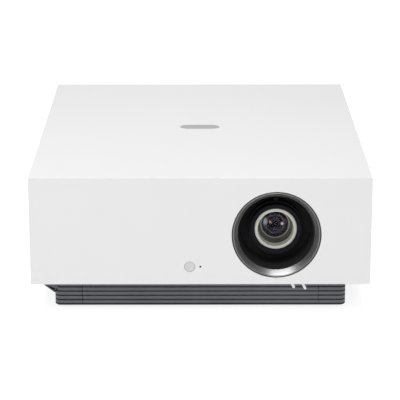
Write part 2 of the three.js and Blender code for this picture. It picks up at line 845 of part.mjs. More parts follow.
put("lens_bezel", lensBezel(), satinSilver, [0, 0, 0], lensAxis);
put("lens_recess", lensRecess(), blackPlastic, [0, 0, 0], lensAxis);
put("remote_eye_window", disc(eyeRadius, 0.2, panel, 20), windowPlastic, [eyeX, -halfDepth, eyeZ]);
put("light_sensor_window", disc(sensorRadius, 0.3, panel, 10), blackPlastic, [0, -halfDepth, eyeZ]);

put("lens_barrel", lensBarrel(), blackPlastic, [0, 0, 0], lensAxis);
put("light_shield", tube(25.2, 42.5, 36.5, 38, 36), blackPlastic, [0, 0, 0], lensAxis);
put("rear_lens", lensBlank(12.7, 84, 92, 1.5, -1.5, 24), lensGlass, [0, 0, 0], lensAxis);
put("focus_ring", focusRing(), blackPlastic, [0, 0, 0], lensAxis);
put("front_lens_cell", frontCell(), castMetal, [0, 0, 0], lensAxis);
put("front_lens", lensBlank(19.5, 24.6, 29.6, 3, 2, 32), lensGlass, [0, 0, 0], lensAxis);
put("zoom_ring", zoomRing(), blackPlastic, [0, 0, 0], lensAxis);
put("zoom_lens_cell", zoomCell(), blackPlastic, [0, 0, 0], lensAxis);
put("zoom_lens", lensBlank(12.9, 51, 58, 1.8, -1.2, 24), lensGlass, [0, 0, 0], lensAxis);

put("lens_shift_base", shiftBasePlate(), castMetal, [0, 0, 0], lensAxis);
put("vertical_carriage", verticalCarriage(), castMetal, [0, 0, 0], lensAxis);
put("horizontal_carriage", horizontalCarriage(), castMetal, [0, 0, 0], lensAxis);
for (const [way, { x, reach }] of Object.entries(levers)) {
  const lever = put(`${way}_shift_lever`, shiftLever(reach), whitePlastic, [x, 0, leverZ]);
  lever.rotation.y = -THREE.MathUtils.degToRad(leverSlant);
}

put("light_engine_housing", engineHousing(), castMetal);
put("phosphor_wheel", phosphorWheel(), aluminium, [18.2, -45, lensZ]);
put("laser_module", laserModule(), castMetal);
put("laser_heatsink", laserHeatsink(), aluminium);
put("mirror_chip_board", mirrorChipBoard(), boardGreen);

const fans = { intake: [-92, -112, 88], exhaust: [exhaust.x, 186, exhaust.z] };
for (const [use, place] of Object.entries(fans)) {
  put(`${use}_fan_frame`, fanFrame(), blackPlastic, place);
  put(`${use}_fan_rotor`, fanRotor(), blackPlastic, place);
}

put("main_board", mainBoard(), boardGreen);
put("power_board", powerBoard(), boardGreen);
put("io_bay", ioBay(), darkPlastic);
for (const [name, port] of Object.entries(ports)) {
  put(name, portShell(port), port.material, [port.x, socketFace, socketFloor]);
}
put("headphone_jack", headphoneJack(), blackPlastic, [jack.x, socketFace, socketFloor]);
put("mains_inlet", mainsInlet(), blackPlastic, [inlet.x, halfDepth, inlet.z]);

for (const [name, { x }] of Object.entries(speakers)) {
  put(`${name}_speaker`, speakerBox(), blackPlastic, [x, halfDepth - panel - gap, speakerZ]);
}

put("joystick_housing", joystickHousing(), darkPlastic, [joystickX, 0, joystickZ]);
put("joystick_gimbal", joystickGimbal(), steelShell, [joystickX, 0, joystickZ]);
put("joystick_stem", joystickStem(), steelShell, [joystickX, 0, joystickZ]);
put("joystick_cap", joystickCap(), darkPlastic, [joystickX, 0, joystickZ]);

for (const [name, side] of Object.entries({ left: -1, right: 1 })) {
  put(`front_${name}_foot_screw`, post(5, 1.6, 24.4), steelShell, [side * footX, -footY, 0]);
  put(`front_${name}_foot_disc`, footDisc(), rubber, [side * footX, -footY, 0]);
  put(`rear_${name}_foot`, rearFoot(), rubber, [side * footX, footY, 0]);
}

export default projector;
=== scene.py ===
import json
import math
import bpy
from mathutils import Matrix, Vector

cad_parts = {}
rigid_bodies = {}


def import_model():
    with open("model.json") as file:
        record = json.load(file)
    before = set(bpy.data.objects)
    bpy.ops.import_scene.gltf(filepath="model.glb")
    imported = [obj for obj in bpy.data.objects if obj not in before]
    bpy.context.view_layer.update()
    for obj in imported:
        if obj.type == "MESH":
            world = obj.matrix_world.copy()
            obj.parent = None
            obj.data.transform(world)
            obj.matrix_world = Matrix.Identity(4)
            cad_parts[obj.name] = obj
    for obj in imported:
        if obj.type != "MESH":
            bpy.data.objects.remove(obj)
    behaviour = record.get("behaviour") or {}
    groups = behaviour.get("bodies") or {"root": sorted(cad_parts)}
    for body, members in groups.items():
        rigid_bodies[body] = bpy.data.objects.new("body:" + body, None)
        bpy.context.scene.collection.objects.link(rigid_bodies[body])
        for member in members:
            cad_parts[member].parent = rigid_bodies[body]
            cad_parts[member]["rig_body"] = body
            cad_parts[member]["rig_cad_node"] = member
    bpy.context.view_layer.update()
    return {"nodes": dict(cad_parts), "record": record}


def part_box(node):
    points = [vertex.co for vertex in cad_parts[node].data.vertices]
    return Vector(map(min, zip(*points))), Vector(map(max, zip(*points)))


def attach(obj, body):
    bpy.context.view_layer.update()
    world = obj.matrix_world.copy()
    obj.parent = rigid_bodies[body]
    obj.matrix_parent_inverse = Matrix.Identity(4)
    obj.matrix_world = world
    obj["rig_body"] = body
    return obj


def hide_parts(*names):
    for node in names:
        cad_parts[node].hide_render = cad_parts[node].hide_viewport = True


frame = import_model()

mm = 0.001
nodes = frame["nodes"]
fullTurn = 2 * math.pi
print("projector: frame loaded,", len(nodes), "nodes")


def middleOf(node):
    low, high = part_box(node)
    return (low + high) / 2


# the lens axis runs along Y, and depths are counted back from the front face
lensMiddle = middleOf("lens_bezel")
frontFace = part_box("front_panel")[0].y


# selecting and shaping

def clearSelection():
    if bpy.context.mode != "OBJECT":
        bpy.ops.object.mode_set(mode="OBJECT")
    bpy.ops.object.select_all(action="DESELECT")


def pick(piece):
    clearSelection()
    piece.select_set(True)
    bpy.context.view_layer.objects.active = piece


def applyAll(piece):
    pick(piece)
    for modifier in list(piece.modifiers):
        bpy.ops.object.modifier_apply(modifier=modifier.name)


def roundEdges(piece, width, segments=2, angle=35):
    pick(piece)
    bevel = piece.modifiers.new("edges", "BEVEL")
    bevel.width = width * mm
    bevel.segments = segments
    bevel.limit_method = "ANGLE"
    bevel.angle_limit = math.radians(angle)
    bevel.use_clamp_overlap = True
    bpy.ops.object.modifier_apply(modifier=bevel.name)


def finishPiece(piece, name, material, body, smoothAngle=32):
    pick(piece)
    bpy.ops.object.transform_apply(location=True, rotation=True, scale=True)
    applyAll(piece)
    piece.name = name
    piece.data.name = name
    bpy.ops.object.shade_smooth_by_angle(angle=math.radians(smoothAngle))
    weighted = piece.modifiers.new("flatFaces", "WEIGHTED_NORMAL")
    weighted.keep_sharp = True
    bpy.ops.object.modifier_apply(modifier=weighted.name)
    if material is not None:
        piece.data.materials.clear()
        piece.data.materials.append(material)
    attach(piece, body)
    return piece


def roundBlock(low, high, edge, segments=2):
    # a box between two corners in mm, its edges rounded
    middle = [(a + b) / 2 * mm for a, b in zip(low, high)]
    size = [(b - a) * mm for a, b in zip(low, high)]
    clearSelection()
    bpy.ops.mesh.primitive_cube_add(size=1, location=middle)
    piece = bpy.context.object
    bpy.ops.transform.resize(value=size, center_override=middle)
    bpy.ops.object.transform_apply(location=True, rotation=True, scale=True)
    roundEdges(piece, edge, segments)
    return piece


def spun(profile, steps=96, centre=None, axis="Y"):
    # a closed profile of (radius, distance along the axis) in mm, spun about Y or Z through centre
    if centre is None:
        centre = (lensMiddle.x, frontFace, lensMiddle.z)
    centre = Vector(centre)
    along = Vector((0, 1, 0)) if axis == "Y" else Vector((0, 0, 1))
    outward = Vector((1, 0, 0))
    points = [centre + outward * (r * mm) + along * (d * mm) for r, d in profile]
    seam = 0.002 * mm
    clearSelection()
    bpy.ops.mesh.primitive_plane_add(size=mm, location=points[0])
    piece = bpy.context.object
    bpy.ops.object.transform_apply(location=True, rotation=True, scale=True)
    bpy.ops.object.mode_set(mode="EDIT")
    bpy.ops.mesh.merge(type="CENTER")
    onAxis = profile[0][0] == 0 and profile[-1][0] == 0
    for before, after in zip(points, points[1:] + ([] if onAxis else points[:1])):
        bpy.ops.mesh.extrude_region_move(TRANSFORM_OT_translate={"value": after - before})
    bpy.ops.mesh.select_all(action="SELECT")
    bpy.ops.mesh.remove_doubles(threshold=seam)
    bpy.ops.mesh.spin(steps=steps, angle=fullTurn, center=centre, axis=along)
    bpy.ops.mesh.select_all(action="SELECT")
    bpy.ops.mesh.remove_doubles(threshold=seam)
    bpy.ops.mesh.normals_make_consistent(inside=False)
    bpy.ops.object.mode_set(mode="OBJECT")
    return piece


def copyOf(piece, shift=(0, 0, 0), turn=0, about=(0, 0, 0)):
    # shift in mm, turn in degrees about Y through a point in metres
    pick(piece)
    bpy.ops.object.duplicate()
    twin = bpy.context.object
    bpy.ops.object.mode_set(mode="EDIT")
    bpy.ops.mesh.select_all(action="SELECT")
    if turn:
        bpy.ops.transform.rotate(value=math.radians(turn), orient_axis="Y", center_override=about)
    if any(shift):
        bpy.ops.transform.translate(value=[s * mm for s in shift])
    bpy.ops.object.mode_set(mode="OBJECT")
    return twin


def joinAll(parts):
    clearSelection()
    for part in parts:
        part.select_set(True)
    bpy.context.view_layer.objects.active = parts[0]
    bpy.ops.object.join()
    return bpy.context.object


def refinedCopy(node, name, material, body, edge, segments=2, angle=35):
    # the CAD node stays as it is, and a merged copy with eased edges is shown for it
    pick(nodes[node])
    bpy.ops.object.duplicate()
    piece = bpy.context.object
    bpy.ops.object.parent_clear(type="CLEAR_KEEP_TRANSFORM")
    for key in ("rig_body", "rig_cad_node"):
        if key in piece:
            del piece[key]
    bpy.ops.object.mode_set(mode="EDIT")
    bpy.ops.mesh.select_all(action="SELECT")
    bpy.ops.mesh.remove_doubles(threshold=0.004 * mm)
    bpy.ops.mesh.dissolve_limited(angle_limit=math.radians(1))
    bpy.ops.object.mode_set(mode="OBJECT")
    roundEdges(piece, edge, segments, angle)
    finishPiece(piece, name, material, body)
    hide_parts(node)


# materials

def newMaterial(name, look):
    material = bpy.data.materials.new(name)
    material.use_nodes = True
    shader = material.node_tree.nodes["Principled BSDF"]
    shader.inputs["Metallic"].default_value = look.get("metal", 0)
    shader.inputs["Specular IOR Level"].default_value = look.get("shine", 0.5)
    shader.inputs["Coat Weight"].default_value = look.get("coat", 0)
    shader.inputs["Coat Roughness"].default_value = 0.1
    shader.inputs["Sheen Weight"].default_value = look.get("sheen", 0)
    return material, material.node_tree, shader


def addNode(tree, kind, **settings):
    node = tree.nodes.new("ShaderNode" + kind)
    for key, value in settings.items():
        setattr(node, key, value)
    return node


def noiseAt(tree, vector, scale, detail=3, roughness=0.55):
    noise = addNode(tree, "TexNoise")
    noise.inputs["Scale"].default_value = scale
    noise.inputs["Detail"].default_value = detail
    noise.inputs["Roughness"].default_value = roughness
    tree.links.new(vector, noise.inputs["Vector"])
    return noise.outputs["Fac"]


def mapped(tree, value, low, high, fromLow=0.3, fromHigh=0.7):
    span = addNode(tree, "MapRange")
    span.inputs["From Min"].default_value = fromLow
    span.inputs["From Max"].default_value = fromHigh
    span.inputs["To Min"].default_value = low
    span.inputs["To Max"].default_value = high
    tree.links.new(value, span.inputs["Value"])
    return span.outputs["Result"]


def blended(tree, factor, colourA, colourB, low=0.35, high=0.65):
    ramp = addNode(tree, "ValToRGB")
    first, last = ramp.color_ramp.elements
    first.position, last.position = low, high
    first.color = (*colourA, 1)
    last.color = (*colourB, 1)
    tree.links.new(factor, ramp.inputs["Fac"])
    return ramp.outputs["Color"]


def bumped(tree, height, strength, distance):
    bump = addNode(tree, "Bump")
    bump.inputs["Strength"].default_value = strength
    bump.inputs["Distance"].default_value = distance * mm
    tree.links.new(height, bump.inputs["Height"])
    return bump.outputs["Normal"]


def shade(colour, factor):
    return tuple(min(1, c * factor) for c in colour)


def mouldedFinish(name, look):
    # moulded or cast surface: slow colour drift, fine grain in the bump, a few rubbed streaks
    material, tree, shader = newMaterial(name, look)
    place = addNode(tree, "TexCoord").outputs["Object"]
    drift = noiseAt(tree, place, look.get("driftScale", 9), 4)
    variation = look.get("variation", 0.03)
    colour = look["colour"]
    drifting = blended(tree, drift, shade(colour, 1 - variation), shade(colour, 1 + variation))
    tree.links.new(drifting, shader.inputs["Base Color"])
    stretch = addNode(tree, "Mapping")
    stretch.inputs["Scale"].default_value = look.get("streakStretch", (40, 500, 500))
    stretch.inputs["Rotation"].default_value = (0.2, 0.35, 0.5)
    tree.links.new(place, stretch.inputs["Vector"])
    streaks = noiseAt(tree, stretch.outputs["Vector"], 1, 2)
    rough, rubbing = look["rough"], 0.04
    rubbed = mapped(tree, streaks, rough + rubbing, rough - rubbing)
    tree.links.new(rubbed, shader.inputs["Roughness"])
    grain = noiseAt(tree, place, 1000 / look["grain"], 2, 0.6)
    tree.links.new(bumped(tree, grain, look["bump"], look["bumpDepth"]), shader.inputs["Normal"])
    return material


def sparkFinish(name, look):
    # spark-eroded tool texture: fine pits with brighter crowns
    material, tree, shader = newMaterial(name, look)
    place = addNode(tree, "TexCoord").outputs["Object"]
    cells = addNode(tree, "TexVoronoi", feature="F1")
    cells.inputs["Scale"].default_value = 1000 / look["grain"]
    tree.links.new(place, cells.inputs["Vector"])
    fine = noiseAt(tree, place, 1800 / look["grain"], 2)
    mix = addNode(tree, "Math", operation="MULTIPLY")
    tree.links.new(cells.outputs["Distance"], mix.inputs[0])
    tree.links.new(fine, mix.inputs[1])
    colour = look["colour"]
    drift = noiseAt(tree, place, 14, 5)
    drifting = blended(tree, drift, shade(colour, 0.9), shade(colour, 1.1))
    tree.links.new(drifting, shader.inputs["Base Color"])
    rough = look["rough"]
    pitted = mapped(tree, cells.outputs["Distance"], rough - 0.08, rough + 0.06, 0.1, 0.6)
    tree.links.new(pitted, shader.inputs["Roughness"])
    pits = bumped(tree, mix.outputs["Value"], look["bump"], look["bumpDepth"])
    tree.links.new(pits, shader.inputs["Normal"])
    return material


def aboutLensAxis(tree):
    # radius and angle about the lens axis, from object coordinates
    place = addNode(tree, "TexCoord").outputs["Object"]
    centre = addNode(tree, "Mapping")
    centre.inputs["Location"].default_value = (-lensMiddle.x, 0, -lensMiddle.z)
    tree.links.new(place, centre.inputs["Vector"])
    split = addNode(tree, "SeparateXYZ")
    tree.links.new(centre.outputs["Vector"], split.inputs["Vector"])
    flat = addNode(tree, "CombineXYZ")
    tree.links.new(split.outputs["X"], flat.inputs["X"])
    tree.links.new(split.outputs["Z"], flat.inputs["Y"])
    radius = addNode(tree, "VectorMath", operation="LENGTH")
    tree.links.new(flat.outputs["Vector"], radius.inputs[0])
    angle = addNode(tree, "Math", operation="ARCTAN2")
    tree.links.new(split.outputs["Z"], angle.inputs[0])
    tree.links.new(split.outputs["X"], angle.inputs[1])
    return radius.outputs["Value"], angle.outputs["Value"], split.outputs["Y"]


def turnedFinish(name, look):
    # lathe-turned metal: fine rings round the lens axis that break up along their length
    material, tree, shader = newMaterial(name, look)
    radius, angle, depth = aboutLensAxis(tree)
    rings = addNode(tree, "CombineXYZ")
    ringsPerMetre, breaksRound = 1000 / look["ringPitch"], 1.2
    for source, times, axis in ((radius, ringsPerMetre, "X"), (angle, breaksRound, "Y"),
                                (depth, ringsPerMetre, "Z")):
        scaled = addNode(tree, "Math", operation="MULTIPLY")
        scaled.inputs[1].default_value = times
        tree.links.new(source, scaled.inputs[0])
        tree.links.new(scaled.outputs["Value"], rings.inputs[axis])
    brushed = noiseAt(tree, rings.outputs["Vector"], 1, 3, 0.7)
    colour = look["colour"]
    ringed = blended(tree, brushed, shade(colour, 0.8), shade(colour, 1.12), 0.3, 0.7)
    tree.links.new(ringed, shader.inputs["Base Color"])
    rough = look["rough"]
    tree.links.new(mapped(tree, brushed, rough - 0.06, rough + 0.08), shader.inputs["Roughness"])
    tree.links.new(bumped(tree, brushed, look["bump"], look["bumpDepth"]), shader.inputs["Normal"])
    return material


wipeScale = 160  # wipe marks per metre on every clear surface


def clearFinish(name, look):
    # glass or clear plastic, with faint dust and wipe marks in the roughness
    material, tree, shader = newMaterial(name, look)
    place = addNode(tree, "TexCoord").outputs["Object"]
    wipes = noiseAt(tree, place, wipeScale, 4, 0.7)
    wiped = mapped(tree, wipes, look["rough"], look["rough"] + look["haze"], 0.5, 0.8)
    tree.links.new(wiped, shader.inputs["Roughness"])
    colour = look["colour"]
    dusted = blended(tree, wipes, colour, shade(colour, 0.97), 0.4, 0.7)
    tree.links.new(dusted, shader.inputs["Base Color"])
    shader.inputs["Transmission Weight"].default_value = look.get("clear", 0)
    shader.inputs["IOR"].default_value = look["ior"]
    shader.inputs["Alpha"].default_value = look.get("alpha", 1)
    return material


def paintedGlintFinish(name, look):
    # dark coated glass, nearly clear between soft tinted glints and reflections of the inner elements,
    # painted into its colour and emission
    material, tree, shader = newMaterial(name, look)
    place = addNode(tree, "TexCoord").outputs["Object"]
    paintedGlintColour, cover = None, None
    for patch in paintedGlintPatches:
        centre = addNode(tree, "Mapping", vector_type="TEXTURE")
        wide, tall = patch["size"]
        across, up = patch["at"]
        spotPlace = (lensMiddle.x + across * mm, 0, lensMiddle.z + up * mm)
        centre.inputs["Location"].default_value = spotPlace
        centre.inputs["Rotation"].default_value = (0, math.radians(patch.get("turn", 0)), 0)
        centre.inputs["Scale"].default_value = (wide * mm, 1000, tall * mm)
        tree.links.new(place, centre.inputs["Vector"])
        spot = addNode(tree, "TexGradient", gradient_type="SPHERICAL")
        tree.links.new(centre.outputs["Vector"], spot.inputs["Vector"])
        amount = mapped(tree, spot.outputs["Fac"], 0, patch["strength"], 0.05, 0.65)
        mix = addNode(tree, "MixRGB", blend_type="MIX")
        tree.links.new(amount, mix.inputs["Fac"])
        if paintedGlintColour is None:
            mix.inputs["Color1"].default_value = (*look["colour"], 1)
            cover = amount
        else:
            tree.links.new(paintedGlintColour, mix.inputs["Color1"])
            most = addNode(tree, "Math", operation="MAXIMUM")
            tree.links.new(cover, most.inputs[0])
            tree.links.new(amount, most.inputs[1])
            cover = most.outputs["Value"]
        mix.inputs["Color2"].default_value = (*patch["colour"], 1)
        paintedGlintColour = mix.outputs["Color"]
    # the glints are painted into the base colour and made to glow through the emission
    tree.links.new(paintedGlintColour, shader.inputs["Base Color"])
    tree.links.new(paintedGlintColour, shader.inputs["Emission Color"])
    shader.inputs["Emission Strength"].default_value = look["glint"]
    tree.links.new(mapped(tree, cover, look["alpha"], 0.95, 0, 1), shader.inputs["Alpha"])
    wipes = noiseAt(tree, place, wipeScale, 4, 0.7)
    wiped = mapped(tree, wipes, look["rough"], look["rough"] + look["haze"], 0.5, 0.8)
    tree.links.new(wiped, shader.inputs["Roughness"])
    shader.inputs["IOR"].default_value = look["ior"]
    return material


def boardFinish(name, look):
    # solder mask with copper tracks showing through as slightly raised, paler runs
    material, tree, shader = newMaterial(name, look)
    place = addNode(tree, "TexCoord").outputs["Object"]
    tracks = addNode(tree, "TexBrick", offset=0.5, squash=1)
    for socket, value in (("Scale", 160), ("Mortar Size", 0.12), ("Mortar Smooth", 0.1),
                          ("Brick Width", 1.7), ("Row Height", 0.32)):
        tracks.inputs[socket].default_value = value
    tracks.inputs["Color1"].default_value = (*look["colour"], 1)
    tracks.inputs["Color2"].default_value = (*shade(look["colour"], 1.25), 1)
    tracks.inputs["Mortar"].default_value = (*look["track"], 1)
    tree.links.new(place, tracks.inputs["Vector"])
    tree.links.new(tracks.outputs["Color"], shader.inputs["Base Color"])
    flow = noiseAt(tree, place, 700, 3)
    tree.links.new(mapped(tree, flow, 0.28, 0.42), shader.inputs["Roughness"])
    tree.links.new(bumped(tree, tracks.outputs["Fac"], 0.3, 0.04), shader.inputs["Normal"])
    return material


# painted glints and reflections of the inner elements, in mm across and up from the lens axis
paintedGlintPatches = (
    {"at": (-10.4, 3.0), "size": (4.0, 6.4), "colour": (0.20, 0.21, 0.25), "strength": 0.95},
    {"at": (-5.0, 2.4), "size": (2.5, 1.3), "turn": 35, "colour": (0.34, 0.21, 0.12), "strength": 0.95},
    {"at": (7.4, 0.6), "size": (2.4, 2.4), "colour": (0.40, 0.34, 0.36), "strength": 0.95},
    {"at": (12.4, 4.0), "size": (3.4, 5.0), "colour": (0.08, 0.035, 0.07), "strength": 0.8},
    {"at": (0.5, 5.4), "size": (7.0, 1.7), "colour": (0.028, 0.036, 0.044), "strength": 0.8},
    {"at": (0.6, 10.2), "size": (5.0, 1.3), "colour": (0.03, 0.022, 0.034), "strength": 0.7},
    {"at": (1.0, -5.4), "size": (8.0, 1.6), "colour": (0.05, 0.05, 0.058), "strength": 0.7},
)

finishes = {
    "shellWhite": {"colour": (0.665, 0.665, 0.667), "rough": 0.46, "variation": 0.006, "grain": 0.35,
                   "bump": 0.08, "bumpDepth": 0.02, "shine": 0.4, "driftScale": 6},
    "leverWhite": {"colour": (0.76, 0.76, 0.755), "rough": 0.4, "variation": 0.01, "grain": 0.3,
                   "bump": 0.06, "bumpDepth": 0.02, "shine": 0.45},
    "plinthGrey": {"colour": (0.088, 0.090, 0.101), "rough": 0.4, "grain": 0.45, "bump": 0.22,
                   "bumpDepth": 0.06, "shine": 0.45},
    "innerBlack": {"colour": (0.012, 0.012, 0.0125), "rough": 0.72, "grain": 0.4, "bump": 0.15,
                   "bumpDepth": 0.05, "shine": 0.25},
    "funnelBlack": {"colour": (0.019, 0.019, 0.019), "rough": 0.8, "grain": 0.3, "bump": 0.1,
                    "bumpDepth": 0.03, "shine": 0.15},
    "smokedPlastic": {"colour": (0.01, 0.01, 0.012), "rough": 0.1, "haze": 0.08, "ior": 1.5},
    "badgeGrey": {"colour": (0.36, 0.365, 0.37), "rough": 0.34, "variation": 0.03, "grain": 0.2,
                  "bump": 0.05, "bumpDepth": 0.01, "coat": 0.3},
    "bezelSatin": {"colour": (0.365, 0.365, 0.37), "rough": 0.3, "metal": 1, "ringPitch": 0.22,
                   "bump": 0.25, "bumpDepth": 0.03},
    "windowPale": {"colour": (0.62, 0.62, 0.615), "rough": 0.18, "haze": 0.1, "clear": 0.15,
                   "ior": 1.46},
    "ringBlueBlack": {"colour": (0.009, 0.0085, 0.012), "rough": 0.6, "ringPitch": 0.3, "bump": 0.12,
                      "bumpDepth": 0.02, "shine": 0.08},
    "cellCream": {"colour": (0.66, 0.67, 0.60), "rough": 0.4, "ringPitch": 0.16,
                  "bump": 0.2, "bumpDepth": 0.02},
    # the cell's cream darkened to olive: painted shade for its deep walls
    "cellOlive": {"colour": (0.115, 0.112, 0.082), "rough": 0.45, "ringPitch": 0.16,
                  "bump": 0.2, "bumpDepth": 0.02},
    # a painted reflection: the mauve sheen that the stop's rim shows through the coated glass
    "irisMauve": {"colour": (0.13, 0.11, 0.135), "rough": 0.4, "ringPitch": 0.2, "bump": 0.15,
                  "bumpDepth": 0.02},
    "frontGlass": {"colour": (0.01, 0.01, 0.016), "rough": 0.02, "haze": 0.02, "ior": 1.6, "coat": 0.2,
                   "alpha": 0.07},
    # dark glass carrying the painted glints and reflections, which glow through its emission
    "coatedGlass": {"colour": (0.004, 0.004, 0.012), "rough": 0.05, "haze": 0.04, "ior": 1.5,
                    "shine": 0.1, "alpha": 0.12, "glint": 0.8},
    "innerGlass": {"colour": (0.006, 0.005, 0.014), "rough": 0.03, "haze": 0.02, "ior": 1.5,
                   "shine": 0.3, "alpha": 0.6},
    "castMetal": {"colour": (0.42, 0.43, 0.44), "rough": 0.5, "metal": 1, "grain": 0.5, "bump": 0.35,
                  "bumpDepth": 0.08, "variation": 0.08},
    "plainAluminium": {"colour": (0.66, 0.67, 0.68), "rough": 0.36, "metal": 1, "grain": 0.6,
                       "bump": 0.1, "bumpDepth": 0.03, "variation": 0.06,
                       "streakStretch": (500, 500, 20)},
    "portSteel": {"colour": (0.58, 0.58, 0.57), "rough": 0.28, "metal": 1, "grain": 0.5, "bump": 0.06,
                  "bumpDepth": 0.02, "variation": 0.06},
    "contactGold": {"colour": (0.75, 0.52, 0.2), "rough": 0.25, "metal": 1, "grain": 0.3, "bump": 0.04,
                    "bumpDepth": 0.01, "variation": 0.08},
    "screwBlack": {"colour": (0.05, 0.05, 0.052), "rough": 0.36, "metal": 0.7, "grain": 0.25,
                   "bump": 0.12, "bumpDepth": 0.02, "variation": 0.1},
    "brassInsert": {"colour": (0.62, 0.48, 0.25), "rough": 0.34, "metal": 1, "grain": 0.3, "bump": 0.08,
                    "bumpDepth": 0.02, "variation": 0.1},
    "footRubber": {"colour": (0.02, 0.02, 0.02), "rough": 0.82, "grain": 0.5, "bump": 0.3,
                   "bumpDepth": 0.06, "shine": 0.3, "sheen": 0.1},
    "boardGreen": {"colour": (0.02, 0.13, 0.06), "track": (0.06, 0.24, 0.12)},
}

makers = {
    "plinthGrey": sparkFinish, "innerBlack": sparkFinish, "footRubber": sparkFinish,
    "bezelSatin": turnedFinish, "ringBlueBlack": turnedFinish, "cellCream": turnedFinish,
    "cellOlive": turnedFinish, "irisMauve": turnedFinish,
    "coatedGlass": paintedGlintFinish,
    "smokedPlastic": clearFinish, "windowPale": clearFinish, "frontGlass": clearFinish,
    "innerGlass": clearFinish, "boardGreen": boardFinish,
}
paint = {name: makers.get(name, mouldedFinish)(name, look) for name, look in finishes.items()}
print("projector: finishes made,", len(paint))


# the housing

housing = {
    "edge": 0.45,  # mm, the crisp moulded edges of the white body
    "plinthEdge": 0.3,
    "badgeEdge": 0.15,
    "slatDepth": 2.0,  # mm, past which the side louvres' deep upright faces are painted black as shade in the gaps
    "upright": 0.3,
}

for node, name in (("body_sleeve", "bodySleeveShell"), ("front_panel", "frontPanelShell"),
                   ("rear_panel", "rearPanelShell")):
    refinedCopy(node, name, paint["shellWhite"], "chassis", housing["edge"], 3)
for node, name in (("bottom_tray", "bottomTrayPlate"),
                   ("plinth_base_plate", "plinthPlate"), ("front_louvre", "frontLouvreSlats"),
                   ("rear_louvre", "rearLouvreSlats"), ("left_louvre", "leftLouvreSlats"),
                   ("right_louvre", "rightLouvreSlats"), ("left_air_hood", "leftAirHoodPlate")):
    refinedCopy(node, name, paint["plinthGrey"], "chassis", housing["plinthEdge"])
# the deep upright faces of the side louvres get the black finish as painted shade in the gaps between
# the slats
for side in ("left", "right"):
    louvre = bpy.data.objects[side + "LouvreSlats"]
    louvre.data.materials.append(paint["innerBlack"])
    low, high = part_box(side + "_louvre")
    outerX = low.x if side == "left" else high.x
    slatDepth = housing["slatDepth"] * mm
    for face in louvre.data.polygons:
        deepX = abs(face.center.x - outerX) > slatDepth
        deepY = min(face.center.y - low.y, high.y - face.center.y) > slatDepth
        upright = abs(face.normal.z) < housing["upright"]
        if deepX and deepY and upright:
            face.material_index = 1
refinedCopy("top_badge", "topBadgeInlay", paint["badgeGrey"], "chassis",
            housing["badgeEdge"])
print("projector: housing and plinth")


# bezel, recess and lens

bezel = {"rim": 44.4, "hole": 45.4, "throat": 39.2, "lip": 0.55}

# the cone, with a bright rounded lip and a fine groove just inside it
rim, hole, throat = bezel["rim"], bezel["hole"], bezel["throat"]
lip = rim - bezel["lip"]
piece = spun([
    (rim - 0.1, 0.3), (rim, 0.5), (rim, 3.3), (hole + 2, 3.3), (hole + 2, 4.7), (throat + 1.9, 8.5),
    (throat + 0.15, 7.2), (throat, 6.95), (lip - 0.35, 0.95), (lip - 0.15, 0.95), (lip, 0.3),
    (lip + 0.15, 0.12), (rim - 0.25, 0.12),
], 160)
finishPiece(piece, "lensBezelRing", paint["bezelSatin"], "chassis", 20)
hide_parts("lens_bezel")

# a black ring fills the gap round the bezel as painted shade, standing in for the gap's shadow
gapShadowRing = {"inner": bezel["rim"] + 0.04, "outer": bezel["hole"], "face": 0.75, "back": 3.25}
piece = spun([
    (gapShadowRing["inner"], gapShadowRing["face"]), (gapShadowRing["inner"] + 0.2, 0.6), (gapShadowRing["outer"], gapShadowRing["face"]),
    (gapShadowRing["outer"], gapShadowRing["back"]), (gapShadowRing["inner"], gapShadowRing["back"]),
], 120)
finishPiece(piece, "bezelSeal", paint["footRubber"], "chassis")

# the recess steps in a little every 5 mm
piece = spun([
    (38.95, 7.3), (40.8, 9.5), (44.8, 9.5), (44.8, 11.3), (40.8, 11.3), (38.8, 35), (37.0, 35),
    (37.35, 30.2), (37.6, 30), (37.75, 25.2), (38, 25), (38.15, 20.2), (38.4, 20),
    (38.55, 15.2), (38.75, 15),
], 120)
finishPiece(piece, "lensRecessFunnel", paint["funnelBlack"], "chassis")
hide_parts("lens_recess")

for node, name, body in (("light_shield", "lightShieldDisc", "horizontal_carriage"),
                         ("lens_barrel", "lensBarrelTube", "horizontal_carriage"),
                         ("zoom_ring", "zoomRingBand", "zoom_ring"),
                         ("zoom_lens_cell", "zoomLensHolder", "zoom_group")):
    refinedCopy(node, name, paint["funnelBlack"], body, 0.12)

focusRing = {"face": 19, "back": 27.4, "ribs": 72}
piece = spun([
    (22.1, 19.25), (22.35, 19), (25.0, 19), (25.15, 19.15), (25.35, 19.15), (25.5, 19), (26.2, 19),
    (26.45, 19.35), (26.45, 27.4), (25.2, 27.4), (25.2, 20.7), (22.1, 20.7),
], 120)
rib = roundBlock((26.3, focusRing["face"] + 1.2, -0.35),
                 (26.6, focusRing["back"] - 0.5, 0.35), 0.1, 1)
pick(rib)
lensPlace = (lensMiddle.x, frontFace, lensMiddle.z)
bpy.ops.transform.translate(value=lensPlace)
bpy.ops.object.transform_apply(location=True, rotation=True, scale=True)
ribs = [copyOf(rib, turn=360 * i / focusRing["ribs"], about=lensPlace)
        for i in range(1, focusRing["ribs"])]
piece = joinAll([piece, rib] + ribs)
finishPiece(piece, "focusRingGrip", paint["ringBlueBlack"], "focus_ring", 25)
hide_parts("focus_ring")

